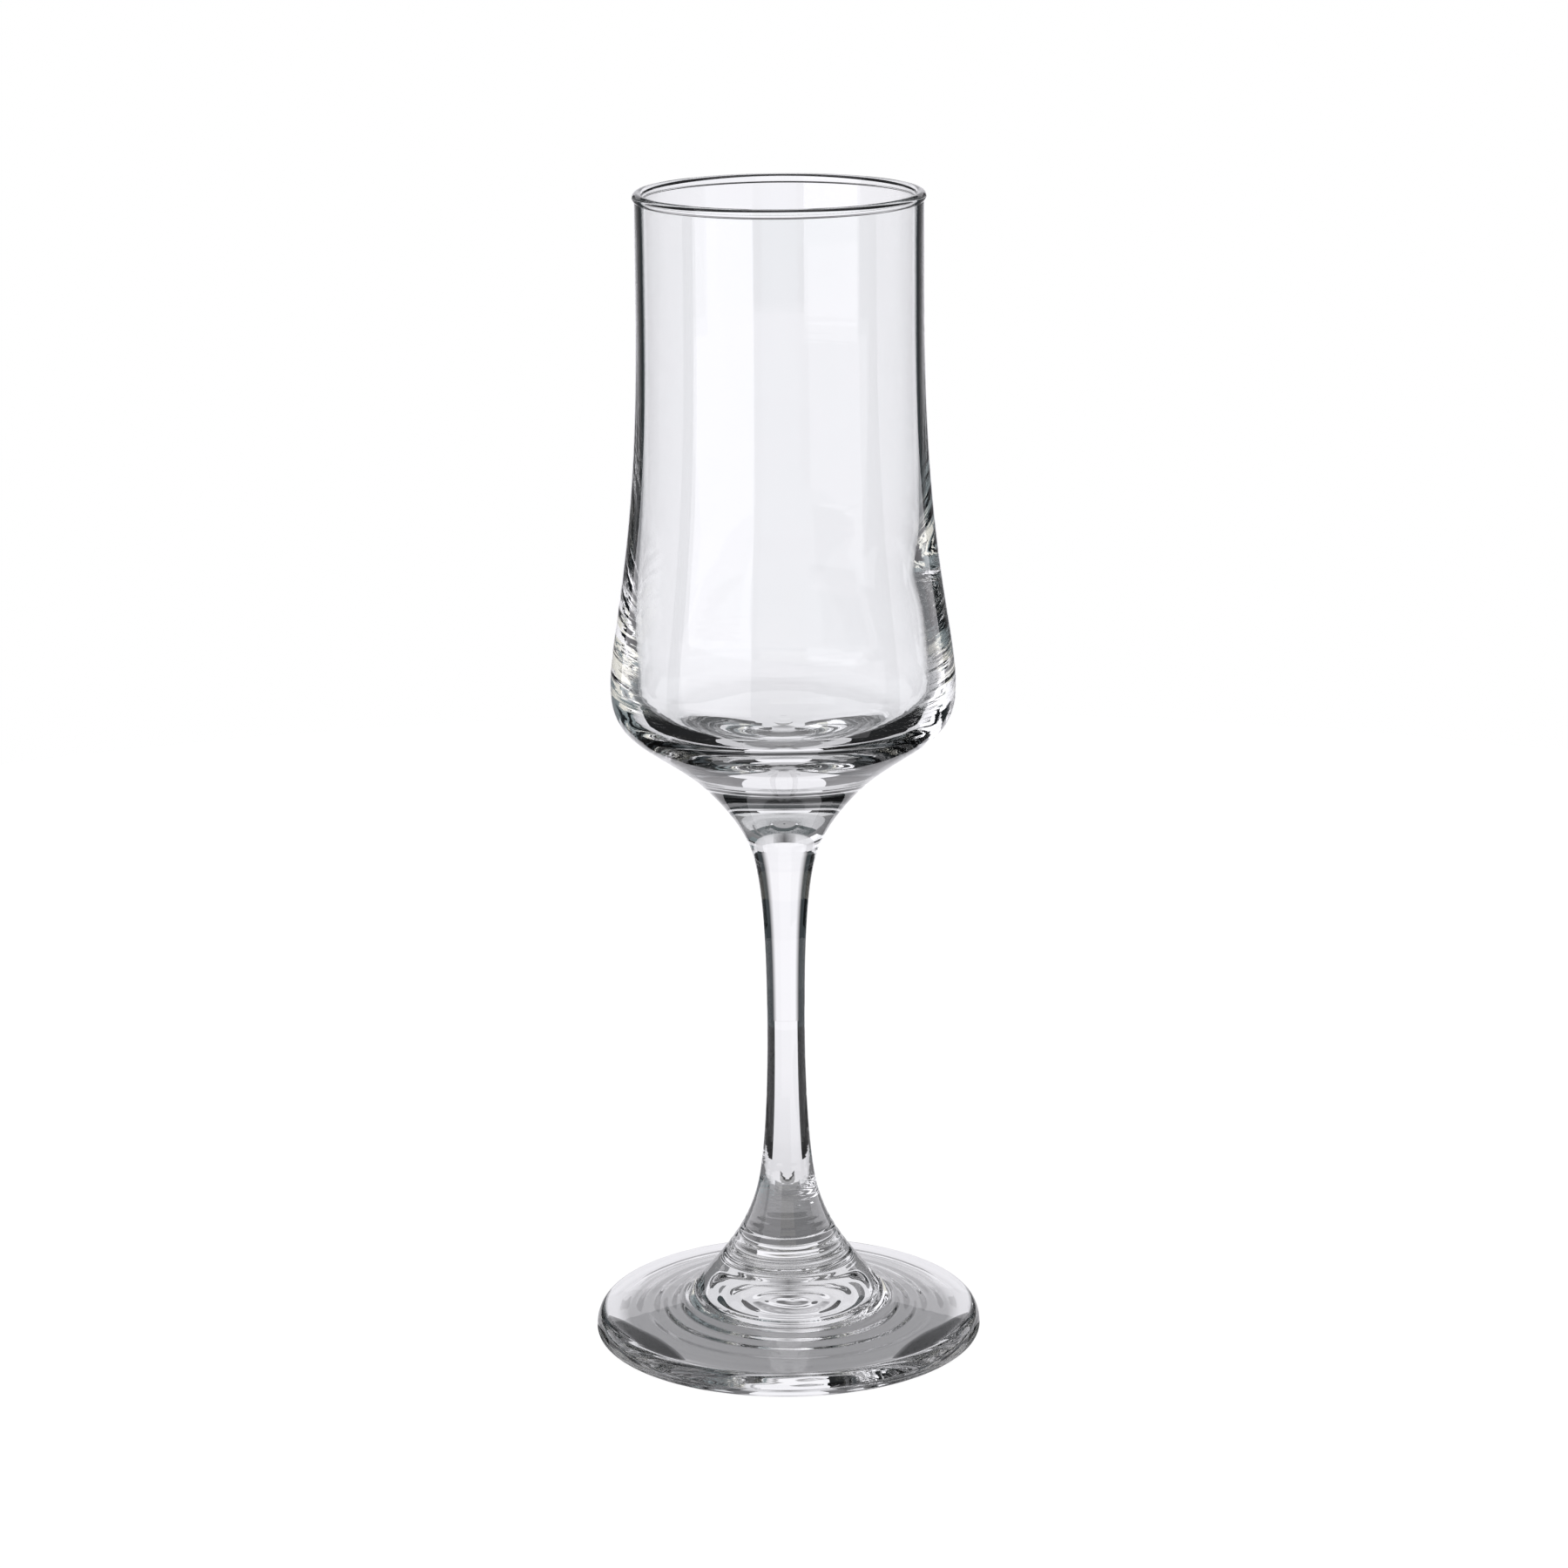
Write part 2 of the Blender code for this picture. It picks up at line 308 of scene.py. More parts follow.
# Rim: a throat up each wall, eased into a round bead that stands a little proud of both
def rimRuns(innerWaist, waist):
    rows = bowl["rows"]
    beadRadius = (bowl["wall"] + bowl["rimProud"] + bowl["rimInside"]) / 2
    centre = spot(innerWaist[0] - bowl["rimInside"] + beadRadius, bowlHigh.z - beadRadius)
    insideTurn = math.acos(1 - bowl["rimInside"] / beadRadius)
    outsideTurn = math.acos(1 - bowl["rimProud"] / beadRadius)
    inside, outside = bowl["beadTurns"]
    turn = np.linspace(math.pi + insideTurn * inside, -outsideTurn * outside, rows["bead"])[:, None]
    bead = centre + beadRadius * np.concatenate([np.cos(turn), np.sin(turn)], axis=1)
    throatEnd = spot(innerWaist[0], centre[1] - beadRadius * math.sin(insideTurn) - bowl["beadBlend"])
    beadEnd = spot(waist[0], centre[1] - beadRadius * math.sin(outsideTurn) - bowl["beadBlend"])
    ease = bowl["beadPull"] * bowl["beadBlend"]
    rise = ease * spot(math.sin(turn[0, 0]), -math.cos(turn[0, 0]))
    fall = ease * spot(math.sin(turn[-1, 0]), -math.cos(turn[-1, 0]))
    throat = straight(innerWaist, throatEnd, rows["throat"])
    lift = bend(throatEnd, spot(0, ease), -rise, bead[0], rows["blend"])
    blend = bend(bead[-1], fall, spot(0, ease), beadEnd, rows["blend"])
    outerThroat = straight(beadEnd, waist, rows["throat"])
    return throat, lift, bead, blend, outerThroat


# Bowl's outline: from the middle of its floor up the cavity, over the rim and down the outside to the weld
def bowlOutline():
    base, rim = bowlLow.z, bowlHigh.z
    rows = bowl["rows"]
    floor = spot(0.0, base + bowl["coneHeight"] + bowl["floorAboveCone"])
    belly = spot(bowlHigh.x, base + bowl["bellyHeight"])
    innerBelly = belly + spot(-bowl["bellyWall"], bowl["innerBellyRise"])
    neck = spot(bowl["neckRadius"], base + bowl["neckHeight"])
    neckSlope = spot(-bowl["neckFlare"], 1)
    waist = spot(bowl["waistRadius"], rim - bowl["waistBelowRim"])
    innerWaist = waist - spot(bowl["wall"], 0)
    cone = spot(bowl["coneRadius"], base + bowl["coneHeight"])
    coneSlope = spot(bowl["coneFlare"], 1)
    weld = spot(welds["bowlRadius"], bowlWeldHeight + welds["slit"])
    weldSlope = spot(welds["bowlFlare"], 1)

    leave, reach = bowl["floorPull"]
    rise = (innerBelly - floor)[1]
    corner = bend(floor, spot(leave * innerBelly[0], 0), spot(0, -reach * rise), innerBelly, rows["floor"])
    corner[:, 1] -= bowl["dimple"] * np.exp(-(corner[:, 0] / bowl["dimpleRadius"])**2)
    leave, reach = bowl["bulgePull"]
    rise = (neck - innerBelly)[1]
    innerBulge = bend(innerBelly, spot(0, leave * rise), -reach * rise * neckSlope, neck, rows["bulge"])
    leave, reach = bowl["innerSidePull"]
    rise = (innerWaist - neck)[1]
    innerSide = bend(neck, leave * rise * neckSlope, spot(0, -reach * rise), innerWaist, rows["innerSide"])
    leave, reach = bowl["sidePull"]
    drop = (waist - belly)[1]
    side = bend(waist, spot(0, -leave * drop), spot(0, reach * drop), belly, rows["side"])
    leave, reach = bowl["shoulderPull"]
    drop = (belly - cone)[1]
    shoulder = bend(belly, spot(0, -leave * drop), reach * drop * coneSlope, cone, rows["shoulder"])
    leave, reach = bowl["flarePull"]
    drop = bowl["coneHeight"]
    flare = bend(cone, -leave * drop * coneSlope, reach * drop * weldSlope, weld, rows["flare"])
    return joinRuns(corner, innerBulge, innerSide, *rimRuns(innerWaist, waist), side, shoulder, flare)


# The cavity lies a little off the axis: a shift along one compass point and a lean along another, both
# bell-shaped in height, and a sway down the thick side. Its floor carries a swell.
def bowlUneven(angle, row, radius, height):
    reach = (height - bowl["shiftHeight"]) / bowl["shiftSpread"]
    side = angle - math.radians(bowl["shiftToward"])
    shift = bowl["shift"] * np.exp(-reach**2) * np.cos(side)
    lean = np.exp(-((height - bowl["leanHeight"]) / bowl["leanSpread"])**2)
    shift = shift + bowl["lean"] * lean * np.cos(angle - math.radians(bowl["leanToward"]))
    sway = np.sin(2 * math.pi * (height - bowl["shiftHeight"]) / bowl["swayLength"])
    near = np.exp(-(reach / bowl["swaySpread"])**2)
    shift = shift - bowl["sway"] * sway * near * np.clip(-np.cos(side), 0, 1)**2
    lift = swell(angle, radius, bowl["swellReach"], bowl["floorSwell"], bowl["swellPhase"])
    inner = row < bowl["innerRows"]
    onFloor = row < bowl["rows"]["floor"]
    return radius + np.where(inner, shift, 0.0), height + np.where(onFloor, lift, 0.0)


# Stem
stem = {
    "waistRadius": 0.00327, "waistHeight": 0.0265, "taperPull": (0.19, 0.43), "flarePull": (0.44, 0.19),
    "taperRows": 80, "flareRows": 60,
}


# Stem's outline: tapers from the upper weld to its waist and flares to the lower weld
def stemOutline():
    upper = spot(welds["bowlRadius"], bowlWeldHeight - welds["slit"])
    lower = spot(welds["footRadius"], footWeldHeight + welds["slit"])
    waist = spot(stem["waistRadius"], stemLow.z + stem["waistHeight"])
    leave, reach = stem["taperPull"]
    drop = (upper - waist)[1]
    slope = spot(welds["bowlFlare"], 1)
    taper = bend(upper, -leave * drop * slope, spot(0, reach * drop), waist, stem["taperRows"])
    leave, reach = stem["flarePull"]
    drop = (waist - lower)[1]
    slope = spot(-welds["footFlare"], 1)
    flare = bend(waist, spot(0, -leave * drop), reach * drop * slope, lower, stem["flareRows"])
    return joinRuns(taper, flare)


# Foot: drift is (size, turns, phase) of the waves that keep its rings from being quite round
foot = {
    "widestHeight": 0.0008, "edgeInset": 0.0019, "edgeHeight": 0.0041,
    "slopeRadius": 0.0193, "slopeHeight": 0.0062,
    "hillRadius": 0.0158, "hillHeight": 0.0082, "hillAngle": 52.0,
    "ringInset": 0.0005, "ringWidth": 0.0038, "dishDepth": 0.0027,
    "sweepPull": (0.48, 0.59), "foldPull": 0.38, "edgePull": (0.7, 0.42), "tuckPull": (0.58, 0.4),
    "underPull": (0.28, 0.67, 0.41),
    "rows": {"sweep": 120, "fold": 31, "slope": 14, "edge": 24, "tuck": 10, "ring": 3, "under": 110},
    "topRows": 164, "underRow": 197, "drift": ((0.5, 1, 0.4), (0.3, 2, 1.9)),
    "underSwell": 0.0002, "swellReach": 0.029, "swellPhase": 2.3,
    "dishWave": 0.00009, "dishWaveLength": 0.0031, "dishWaveDrift": 4.0,
    "dishCalm": 0.003, "dishWaveReach": 0.028, "dishWaveFade": 0.006,
    "ripple": 0.00005, "rippleLength": 0.0015, "rippleLow": 0.0095, "rippleHigh": 0.0255,
    "rippleBend": 1.1, "rippleBendRate": 900.0,
    "ringWave": 0.000035, "ringWaveLength": 0.0021,
    "ringWaveFrom": 0.014, "ringWaveTo": 0.031, "ringWaveFade": 0.004,
}


# Foot's outline: from the weld down the sweep and the hill, over the fold, along the disc's slope, round its
# edge, across the standing ring and up the dish below
def footOutline():
    radius = footHigh.x
    rows = foot["rows"]
    weld = spot(welds["footRadius"], footWeldHeight - welds["slit"])
    hill = spot(foot["hillRadius"], foot["hillHeight"])
    hillTurn = math.radians(foot["hillAngle"])
    hillDown = spot(math.cos(hillTurn), -math.sin(hillTurn))
    slopeIn = spot(foot["slopeRadius"], foot["slopeHeight"])
    slopeOut = spot(radius - foot["edgeInset"], foot["edgeHeight"])
    down = (slopeOut - slopeIn) / np.linalg.norm(slopeOut - slopeIn)
    widest = spot(radius, foot["widestHeight"])
    ringOut = spot(radius - foot["ringInset"], 0)
    ringIn = ringOut - spot(foot["ringWidth"], 0)
    dish = spot(0, foot["dishDepth"])

    leave, reach = foot["sweepPull"]
    drop = leave * (weld - hill)[1]
    across = reach * (hill - weld)[0]
    sweep = bend(weld, drop * spot(welds["footFlare"], -1), -across * hillDown, hill, rows["sweep"])
    pull = foot["foldPull"] * np.linalg.norm(slopeIn - hill)
    fold = bend(hill, pull * hillDown, -pull * down, slopeIn, rows["fold"])
    slope = straight(slopeIn, slopeOut, rows["slope"])
    leave, reach = foot["edgePull"]
    rise = (slopeOut - widest)[1]
    edge = bend(slopeOut, leave * foot["edgeInset"] * down, spot(0, reach * rise), widest, rows["edge"])
    leave, reach = foot["tuckPull"]
    inset = foot["ringInset"]
    tuck = bend(widest, spot(0, -leave * widest[1]), spot(reach * inset, 0), ringOut, rows["tuck"])
    ring = straight(ringOut, ringIn, rows["ring"])
    inward, upward, reach = foot["underPull"]
    leave = spot(-inward * ringIn[0], upward * dish[1])
    under = bend(ringIn, leave, spot(reach * ringIn[0], 0), dish, rows["under"])
    return joinRuns(sweep, fold, slope, edge, tuck, ring, under)


# The foot's underside carries a swell and rings, its sweep pressing ripples, and its disc a few faint rings
def footUneven(angle, row, radius, height):
    drift = sum(size * np.cos(turns * angle + phase) for size, turns, phase in foot["drift"])
    lift = swell(angle, radius, foot["swellReach"], foot["underSwell"], foot["swellPhase"])
    calm = np.clip((foot["dishWaveReach"] - radius) / foot["dishWaveFade"], 0, 1)
    middle = np.clip(radius / foot["dishCalm"], 0, 1)
    rings = np.cos(2 * math.pi * radius / foot["dishWaveLength"] + foot["dishWaveDrift"] * drift)
    lift = lift + foot["dishWave"] * rings * calm * middle
    lift = np.where(row >= foot["underRow"], lift, 0.0)

    share = np.clip((height - foot["rippleLow"]) / (foot["rippleHigh"] - foot["rippleLow"]), 0, 1)
    bent = foot["rippleBend"] * np.sin(foot["rippleBendRate"] * height)
    wave = np.sin(2 * math.pi * height / foot["rippleLength"] + drift + bent)
    push = foot["ripple"] * wave * np.sin(math.pi * share)**2
    ring = np.sin(2 * math.pi * radius / foot["ringWaveLength"] + drift)
    ring = ring * np.clip((radius - foot["ringWaveFrom"]) / foot["ringWaveFade"], 0, 1)
    ring = ring * np.clip((foot["ringWaveTo"] - radius) / foot["ringWaveFade"], 0, 1)
    onTop = row < foot["topRows"]
    return radius + np.where(onTop, push, 0.0), height + lift + np.where(onTop, foot["ringWave"] * ring, 0.0)


finish = {
    "bowl": {"smearScale": 60.0, "smearMost": 0.004, "cords": [
        {"fineness": 1100.0, "breadth": 28.0, "low": 0.100, "high": 0.131, "fade": 0.008, "depth": 0.000015},
        {"fineness": 500.0, "breadth": 22.0, "low": 0.13, "high": 0.19, "fade": 0.02, "depth": 0.000008}]},
    "stem": {"smearScale": 90.0, "smearMost": 0.004, "cords": [
        {"fineness": 900.0, "breadth": 60.0, "low": 0.083, "high": 0.1, "fade": 0.004, "depth": 0.00002},
        {"fineness": 900.0, "breadth": 60.0, "low": 0.0, "high": 0.033, "fade": 0.005, "depth": 0.00003}]},
    "foot": {"smearScale": 70.0, "smearMost": 0.006, "cords": [
        {"fineness": 800.0, "breadth": 50.0, "low": 0.009, "high": 0.04, "fade": 0.004, "depth": 0.00003},
        {"fineness": 900.0, "breadth": 120.0, "low": -0.01, "high": 0.008, "fade": 0.003, "depth": 0.00001}]},
}
weldLook = weldMaterial()
outline = bowlOutline()
bowlPiece = turned("bowlGlass", outline[1:], (outline[0, 1], outline[-1, 1]), (False, True), bowlUneven)
outline = stemOutline()
stemPiece = turned("stemGlass", outline, (outline[0, 1], outline[-1, 1]), (True, True))
outline = footOutline()
footPiece = turned("footGlass", outline[:-1], (outline[0, 1], outline[-1, 1]), (True, False), footUneven)
for piece, node in ((bowlPiece, "bowl"), (stemPiece, "stem"), (footPiece, "foot")):
    piece.data.materials.append(glassMaterial(node + "Glass", finish[node]))
    piece.data.materials.append(weldLook)
    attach(piece, "root")
    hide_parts(node)
print("glass: three pieces")


# Studio: azimuths are degrees from straight behind the glass as the camera sees it, positive to the right
studio = {
    "viewAzimuth": 225.0,
    "middle": 0.12,
    "away": {"far": 1.5, "fill": 1.6, "window": 1.7, "roof": 1.8, "wall": 1.9},
    "coolWhite": (0.98, 0.967, 1.01),
    "warmWhite": (1.0, 0.97, 0.89),
    "dusk": (0.82, 0.95, 1.0),
    "room": (0.042, 0.05, 0.055),
    "panelSteps": 25,
}


# Compass point at an azimuth: unit vector turned clockwise from straight behind
def around(azimuth):
    turn = np.radians(studio["viewAzimuth"] - np.asarray(azimuth, float))
    return -np.sin(turn), np.cos(turn)


# Sheet of quads over a grid of points
def stagePatch(name, grid, material):
    rows, columns = grid.shape[:2]
    index = np.arange(rows * columns).reshape(rows, columns)
    faces = np.stack([index[:-1, :-1], index[:-1, 1:], index[1:, 1:], index[1:, :-1]], axis=2).reshape(-1, 4)
    mesh = bpy.data.meshes.new(name)
    mesh.from_pydata(grid.reshape(-1, 3).tolist(), [], faces.tolist())
    mesh.materials.append(material)
    piece = bpy.data.objects.new(name, mesh)
    bpy.context.scene.collection.objects.link(piece)
    return piece


# Only rays that have met the glass see this patch
def hideFromCamera(piece):
    piece.visible_camera = False
    piece.visible_diffuse = False
    piece.visible_shadow = False


# Glow: strength from the mesh's own glow attribute. keep is the share left after each reflection inside the
# glass past the first few that are spare: painted shade, which stands in for the loss over a long way through
# it and darkens light that turns many times inside the glass. A gloss glow is dark to rays that
# come through the glass. A clear one is plain white to rays that come straight through, so that every view
# looks through to white.
def glowMaterial(name, colour, keep=1.0, spare=0.0, glossOnly=False, clear=False):
    material = bpy.data.materials.new(name)
    material.use_nodes = True
    tree = material.node_tree
    link = tree.links.new
    tree.nodes.remove(tree.nodes["Principled BSDF"])
    level = addNode(tree, "ShaderNodeAttribute", attribute_name="glow")
    glow = addNode(tree, "ShaderNodeEmission")
    glow.inputs["Color"].default_value = (*studio[colour], 1.0)
    path = addNode(tree, "ShaderNodeLightPath")
    share = addNode(tree, "ShaderNodeMath", operation="SUBTRACT" if glossOnly else "POWER")
    if glossOnly:
        share.inputs[0].default_value = 1.0
        link(path.outputs["Is Transmission Ray"], share.inputs[1])
    else:
        beyond = addNode(tree, "ShaderNodeMath", operation="SUBTRACT")
        beyond.inputs[1].default_value = spare
        link(path.outputs["Glossy Depth"], beyond.inputs[0])
        counted = addNode(tree, "ShaderNodeMath", operation="MAXIMUM")
        counted.inputs[1].default_value = 0.0
        link(beyond.outputs[0], counted.inputs[0])
        share.inputs[0].default_value = keep
        link(counted.outputs[0], share.inputs[1])
    strength = addNode(tree, "ShaderNodeMath", operation="MULTIPLY")
    link(level.outputs["Fac"], strength.inputs[0])
    link(share.outputs[0], strength.inputs[1])
    link(strength.outputs[0], glow.inputs["Strength"])
    if clear:
        unturned = addNode(tree, "ShaderNodeMath", operation="LESS_THAN")
        unturned.inputs[1].default_value = 0.5  # true only before the first reflection
        link(path.outputs["Glossy Depth"], unturned.inputs[0])
        plain = addNode(tree, "ShaderNodeMix", data_type="FLOAT")
        plain.inputs["B"].default_value = 1.0
        link(unturned.outputs[0], plain.inputs["Factor"])
        link(strength.outputs[0], plain.inputs["A"])
        link(plain.outputs["Result"], glow.inputs["Strength"])
        tint = addNode(tree, "ShaderNodeMix", data_type="RGBA")
        tint.inputs["A"].default_value = (*studio[colour], 1.0)
        tint.inputs["B"].default_value = (*studio["coolWhite"], 1.0)
        link(unturned.outputs[0], tint.inputs["Factor"])
        link(tint.outputs["Result"], glow.inputs["Color"])
    link(glow.outputs[0], tree.nodes["Material Output"].inputs["Surface"])
    return material


glowLooks = {
    "panel": {"colour": "coolWhite", "keep": 0.8, "spare": 3.0},
    "side": {"colour": "coolWhite", "keep": 0.15},
    "upper": {"colour": "coolWhite", "keep": 0.75},
    "gloss": {"colour": "coolWhite", "glossOnly": True},
    "table": {"colour": "coolWhite", "keep": 0.8},
    # Painted shade sheets: dark to light that has turned inside the glass, plain white to light that came
    # straight through
    "shadeSheet": {"colour": "coolWhite", "keep": 0.8, "clear": True},
    "fill": {"colour": "coolWhite", "keep": 0.4, "spare": 3.0, "clear": True},
    "front": {"colour": "coolWhite", "keep": 0.8, "spare": 3.0, "clear": True},
    "lamp": {"colour": "coolWhite", "clear": True},
    "soft": {"colour": "coolWhite", "keep": 0.9, "clear": True},
    "window": {"colour": "coolWhite", "glossOnly": True, "clear": True},
    "warm": {"colour": "warmWhite", "clear": True},
    "haze": {"colour": "dusk", "clear": True},
    "dusk": {"colour": "dusk", "keep": 0.85, "clear": True},
    "room": {"colour": "room", "clear": True},
}
glows = {name: glowMaterial(name + "Glow", **look) for name, look in glowLooks.items()}


# Gives every point of a patch its own level, for the glow to read
def setGlow(piece, levels):
    glow = piece.data.attributes.new("glow", "FLOAT", "POINT")
    glow.data.foreach_set("value", np.asarray(levels, np.float32).ravel())


# Panels of light all round the glass: azimuths, elevations and level, which is one number or the corners'
# ((lowLeft, lowRight), (highLeft, highRight)). A shy panel is left out of plain reflections.
shyRoof = {"away": "roof", "shy": True}
shyFill = {"level": 0.8, "glow": "fill", "away": "fill", "shy": True}
panels = {
    "backdrop": {"span": (-14, 14), "rise": (-20, 12), "level": 1.0},
    "backdropLeft": {"span": (-22, -14), "rise": (-20, 12), "level": 1.0, "glow": "side"},
    "backdropRight": {"span": (14, 22), "rise": (-20, 12), "level": 1.0, "glow": "side"},
    "backdropLeftEdge": {"span": (-33, -22), "rise": (-20, 12), "level": ((0.1, 1.0), (0.1, 1.0)),
                         "glow": "side"},
    "backdropRightEdge": {"span": (22, 33), "rise": (-20, 12), "level": ((1.0, 0.1), (1.0, 0.1)),
                          "glow": "side"},
    "upperBackdrop": {"span": (-28, 28), "rise": (12, 21), "level": 1.0, "glow": "upper"},
    "backdropSweep": {"span": (-28.5, 28.5), "rise": (-60, -20), "level": ((0.75, 0.75), (1.0, 1.0))},
    "ceilingBackLeft": {"span": (-12, 0), "rise": (20, 50), "level": ((0.6, 0.06), (0.8, 0.4)), **shyRoof},
    "ceilingBackRight": {"span": (0, 12), "rise": (20, 50), "level": ((0.06, 0.6), (0.4, 0.8)), **shyRoof},
    "ceilingFarLeft": {"span": (-45, -12), "rise": (14, 50), "level": 0.8, **shyRoof},
    "ceilingFarRight": {"span": (12, 45), "rise": (14, 50), "level": 0.8, **shyRoof},
    "ceilingSides": {"span": (45, 315), "rise": (14, 50), "level": 0.25, "glow": "fill", **shyRoof},
    "leftFill": {"span": (-151, -98), "rise": (-45, -9), **shyFill},
    "rightFill": {"span": (98, 151), "rise": (-45, -9), **shyFill},
    "frontFill": {"span": (151, 209), "rise": (-17, -8), **shyFill},
    "ceilingRing": {"span": (-100, 100), "rise": (50, 80), "level": ((0.6, 0.6), (0.9, 0.9)), "away": "roof"},
    "ceilingFront": {"span": (100, 260), "rise": (50, 80), "level": ((0.15, 0.15), (0.12, 0.12)),
                     "glow": "dusk", "away": "roof"},
    "ceilingTop": {"span": (-180, 180), "rise": (80, 89), "level": 0.4, "away": "roof"},
    "softbox": {"span": (-159, -108), "rise": (9, 40), "level": 1.4, "glow": "lamp"},
    "softboxLow": {"span": (-159, -108), "rise": (-9.3, 9), "level": 1.7, "glow": "soft"},
    "leftReflector": {"span": (-98, -45), "rise": (-13, 12), "level": ((1.2, 1.7), (1.2, 1.7)),
                      "glow": "gloss"},
    "rightReflector": {"span": (45, 98), "rise": (-13, 12), "level": ((1.7, 1.2), (1.7, 1.2)),
                       "glow": "gloss"},
    "frontWall": {"span": (98, 262), "rise": (-60, 89), "level": 1.0, "glow": "room", "away": "wall"},
    "frontSweep": {"span": (151, 209), "rise": (-45, -17), "level": ((0.85, 0.85), (0.6, 0.6)),
                   "glow": "front"},
    "sideWindow": {"span": (113, 157), "rise": (-11.6, -4), "level": 0.8, "glow": "front", "shy": True},
    "lowWindow": {"span": (113, 165), "rise": (-4, 6), "level": 0.35, "glow": "haze", "shy": True},
    "midWindow": {"span": (113, 160), "rise": (6, 35), "level": 0.3, "glow": "haze"},
    "highWindow": {"span": (160, 201), "rise": (6, 35), "level": 1.0, "glow": "warm"},
    "frontHaze": {"span": (165, 195), "rise": (-8, 6), "level": 0.35, "glow": "haze", "shy": True},
    "windowGloss": {"span": (118, 161), "rise": (-32, -8.6), "level": 1.0, "glow": "window",
                    "away": "window"},
}


# Panel: a patch of a far sphere about the glass, with its corners' levels blended straight across
def panel(name, span, rise, level, glow="panel", away="far", shy=False):
    across = np.linspace(0.0, 1.0, studio["panelSteps"])[None, :]
    upward = np.linspace(0.0, 1.0, studio["panelSteps"])[:, None]
    x, y = around(span[0] + (span[1] - span[0]) * across)
    elevation = np.radians(rise[0] + (rise[1] - rise[0]) * upward)
    distance = studio["away"][away]
    flat = distance * np.cos(elevation)
    height = studio["middle"] + distance * np.sin(elevation) + 0 * across
    piece = stagePatch(name, np.stack([flat * x, flat * y, height], axis=2), glows[glow])
    corner = np.broadcast_to(np.asarray(level, float), (2, 2))
    lower = corner[0, 0] + (corner[0, 1] - corner[0, 0]) * across
    upper = corner[1, 0] + (corner[1, 1] - corner[1, 0]) * across
    setGlow(piece, lower + (upper - lower) * upward)
    hideFromCamera(piece)
    piece.visible_glossy = not shy


for name, values in panels.items():
    panel(name, **values)
print("studio:", len(panels), "panels")


# Table as the glass sees it: the pale top with the foot's own shade painted in, and darker patches of painted
# shade. Each run of levels is (radii, levels at those radii).
table = {
    "radius": 0.17, "nearRadius": 0.036, "footRadius": 0.0335, "radialSteps": 18,
    "topHeight": -0.00004, "shadeHeight": -0.00001, "shadeSheetHeight": 0.0002,
    "top": ((0.0288, 0.0298, 0.05, 0.1, 0.13, 0.17), (0.33, 0.85, 0.8, 0.9, 0.95, 0.95)),
    "dim": ((0.0, 0.03, 0.038, 0.0405, 0.042), (0.2, 0.22, 0.4, 0.05, 0.05)),
    "gloom": ((0.0, 0.0255, 0.0262, 1.0), (0.2, 0.2, 0.01, 0.01)),
    "black": ((0.0, 1.0), (0.02, 0.02)),
}
tablePatches = {
    "tableNear": {"span": (0, 360), "reach": (0.0001, table["nearRadius"]), "turns": 121},
    "tableTop": {"span": (0, 360), "reach": (table["nearRadius"], table["radius"]), "turns": 121},
    "backShade": {"span": (-19, 19), "reach": (0.008, table["footRadius"]), "lies": "shade",
                  "levels": "dim"},
    "endShade": {"span": (-11, 11), "reach": (table["footRadius"], 0.042), "lies": "shade",
                 "levels": "dim", "bow": 0.2},
    "leftShade": {"span": (-155, -89), "reach": (0.0255, table["footRadius"]), "lies": "shade",
                  "levels": "gloom", "bow": 0.3},
    "rightShade": {"span": (89, 155), "reach": (0.0255, table["footRadius"]), "lies": "shade",
                   "levels": "gloom", "bow": 0.3},
    # Shade sheets: black patches of painted shade on the table beside the glass, hidden from the camera, which
    # give the glass its dark edges
    "leftShadeSheet": {"span": (-98, -28), "reach": (0.055, table["radius"]), "lies": "shadeSheet", "levels": "black"},
    "rightShadeSheet": {"span": (28, 98), "reach": (0.055, table["radius"]), "lies": "shadeSheet", "levels": "black"},
    "leftFrontShadeSheet": {"span": (-152, -105), "reach": (0.05, table["radius"]), "lies": "shadeSheet",
                      "levels": "black", "glow": "shadeSheet"},
    "rightFrontShadeSheet": {"span": (105, 152), "reach": (0.05, table["radius"]), "lies": "shadeSheet",
                       "levels": "black", "glow": "shadeSheet"},
}


# Patch of table: a sector of a ring with its levels along the radius. With a bow, its radii grow towards its
# two sides, by the square of the way to them.
def tablePatch(name, span, reach, lies="top", levels="top", turns=25, bow=0.0, glow="table"):
    across = np.linspace(-1.0, 1.0, turns)[None, :]
    x, y = around(span[0] + (span[1] - span[0]) * (across + 1) / 2)
    radius = np.linspace(reach[0], reach[1], table["radialSteps"])[:, None] + 0 * across
    grow = 1 + bow * across**2
    height = 0 * radius + table[lies + "Height"]
    piece = stagePatch(name, np.stack([radius * grow * x, radius * grow * y, height], axis=2), glows[glow])
    setGlow(piece, np.interp(radius, *table[levels]))
    hideFromCamera(piece)


for name, values in tablePatches.items():
    tablePatch(name, **values)


# Black hoops, hidden from the camera: thin bands round the axis just beside the rim, which paint fine dark
# lines of shade along the bead
hoops = {"outerHoop": 0.0250, "innerHoop": 0.0220}
hoopLook = {"lowBelowRim": 0.0017, "highBelowRim": 0.00115, "level": 0.02, "turns": 241, "rows": 3}


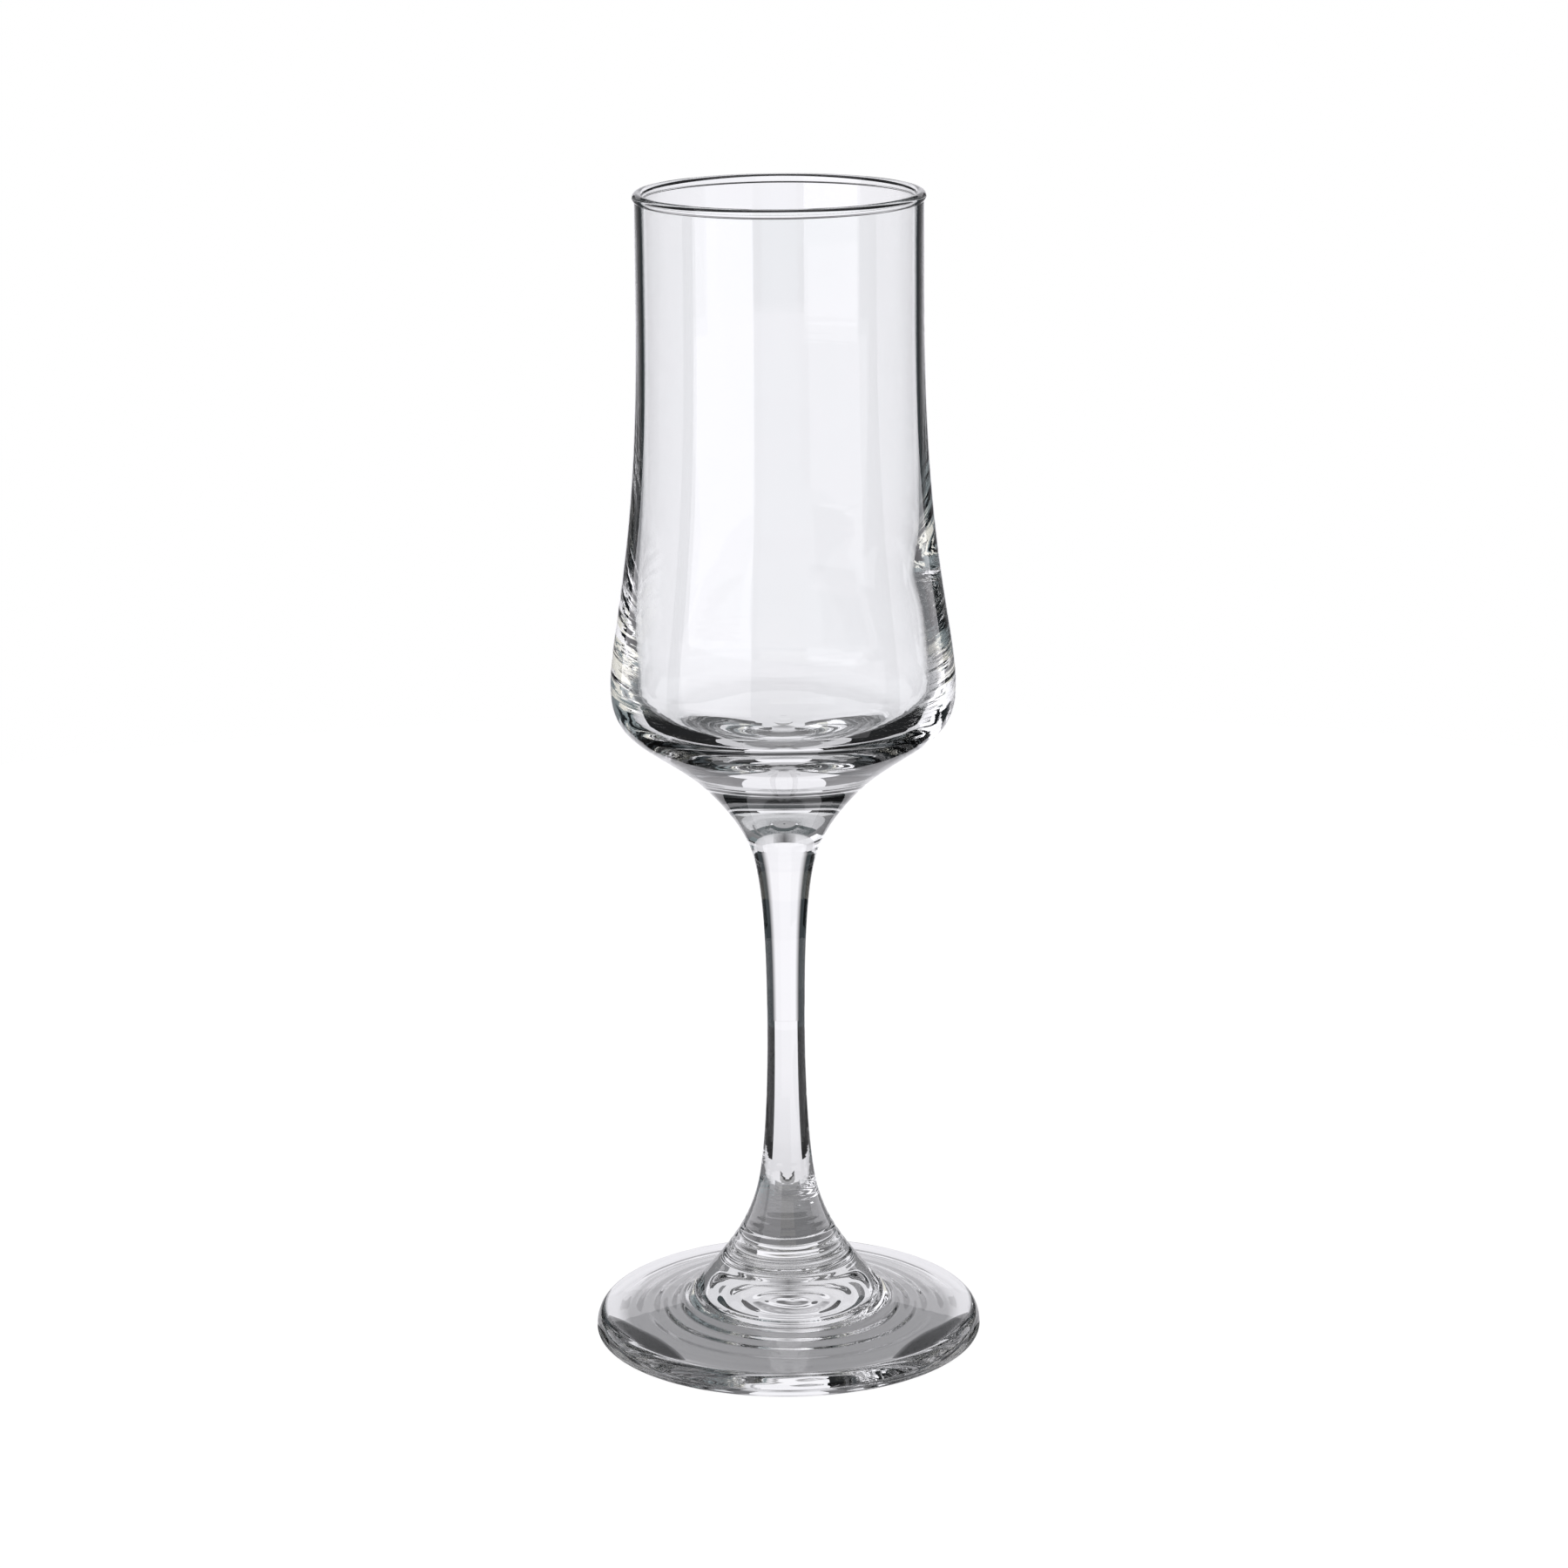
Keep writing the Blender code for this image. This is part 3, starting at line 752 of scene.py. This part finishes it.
def hoop(name, radius):
    x, y = around(np.linspace(0, 360, hoopLook["turns"])[None, :])
    low, high = bowlHigh.z - hoopLook["lowBelowRim"], bowlHigh.z - hoopLook["highBelowRim"]
    height = np.linspace(low, high, hoopLook["rows"])[:, None] + 0 * x
    grid = np.stack([radius * x + 0 * height, radius * y + 0 * height, height], axis=2)
    piece = stagePatch(name, grid, glows["panel"])
    setGlow(piece, np.full(height.shape, hoopLook["level"]))
    hideFromCamera(piece)


for name, radius in hoops.items():
    hoop(name, radius)
print("studio: table and hoops")


# Pale floor, for the camera only: a white glow plus a thin matt share that takes the lamp's shadow
floor = {
    "radius": 0.45, "middle": 0.0001, "height": -0.00002, "rows": 4, "turns": 121,
    "glow": 0.955, "matt": 0.07, "lampHeight": 1.2, "lampSize": 0.9, "lampPower": 24.0,
}


def floorMaterial():
    material = bpy.data.materials.new("paleFloor")
    material.use_nodes = True
    tree = material.node_tree
    tree.nodes.remove(tree.nodes["Principled BSDF"])
    glow = tree.nodes.new("ShaderNodeEmission")
    glow.inputs["Strength"].default_value = floor["glow"]
    matt = tree.nodes.new("ShaderNodeBsdfDiffuse")
    matt.inputs["Color"].default_value = (*(floor["matt"],) * 3, 1.0)
    both = tree.nodes.new("ShaderNodeAddShader")
    tree.links.new(glow.outputs[0], both.inputs[0])
    tree.links.new(matt.outputs[0], both.inputs[1])
    tree.links.new(both.outputs[0], tree.nodes["Material Output"].inputs["Surface"])
    return material


# Floor: a flat disc of rings round the axis, unseen by the glass, which sees the table
def layFloor():
    radius = np.linspace(floor["middle"], floor["radius"], floor["rows"])[:, None]
    x, y = around(np.linspace(0, 360, floor["turns"])[None, :])
    height = 0 * radius * x + floor["height"]
    ground = stagePatch("floor", np.stack([radius * x, radius * y, height], axis=2), floorMaterial())
    ground.visible_glossy = False
    ground.visible_transmission = False


# Lamp: a soft square overhead, for the floor's shadow only
def hangLamp():
    data = bpy.data.lights.new("topLamp", "AREA")
    data.size = floor["lampSize"]
    data.energy = floor["lampPower"]
    lamp = bpy.data.objects.new("topLamp", data)
    lamp.location = (0.0, 0.0, floor["lampHeight"])
    lamp.visible_camera = False
    lamp.visible_glossy = False
    lamp.visible_transmission = False
    bpy.context.scene.collection.objects.link(lamp)


# World: white to the camera, and a dim room to the glass
def paintWorld():
    world = bpy.data.worlds.new("studio")
    bpy.context.scene.world = world
    world.use_nodes = True
    tree = world.node_tree
    path = tree.nodes.new("ShaderNodeLightPath")
    pick = addNode(tree, "ShaderNodeMix", data_type="RGBA")
    pick.inputs["A"].default_value = (*studio["room"], 1)
    pick.inputs["B"].default_value = (1, 1, 1, 1)
    tree.links.new(path.outputs["Is Camera Ray"], pick.inputs["Factor"])
    tree.links.new(pick.outputs["Result"], tree.nodes["Background"].inputs["Color"])


layFloor()
hangLamp()
paintWorld()
print("studio: floor, lamp and world")


# Camera: degrees, metres and millimetres
view = {
    "distance": 0.738, "height": 0.2936, "pitch": 14.8, "roll": 0.49,
    "lens": 102.5, "sensor": 36.0, "nearest": 0.01,
}


def placeCamera():
    data = bpy.data.cameras.new("camera")
    data.sensor_width = view["sensor"]
    data.lens = view["lens"]
    data.clip_start = view["nearest"]
    camera = bpy.data.objects.new("camera", data)
    bpy.context.scene.collection.objects.link(camera)
    azimuth, pitch = math.radians(studio["viewAzimuth"]), math.radians(view["pitch"])
    level = math.cos(pitch)
    ahead = Vector((-math.sin(azimuth) * level, math.cos(azimuth) * level, -math.sin(pitch)))
    roll = Matrix.Rotation(math.radians(-view["roll"]), 3, "Z").to_quaternion()
    turn = ahead.to_track_quat("-Z", "Y") @ roll
    distance = view["distance"]
    place = Vector((math.sin(azimuth) * distance, -math.cos(azimuth) * distance, view["height"]))
    camera.matrix_world = Matrix.Translation(place) @ turn.to_matrix().to_4x4()
    bpy.context.scene.camera = camera


# Light caught in the thick glass turns many times before it gets out
bounces = {"max_bounces": 64, "transmission_bounces": 64, "glossy_bounces": 64, "transparent_max_bounces": 32}

placeCamera()
scene = bpy.context.scene
scene.view_settings.view_transform = "Standard"
for kind, count in bounces.items():
    setattr(scene.cycles, kind, count)
print("camera: in place")
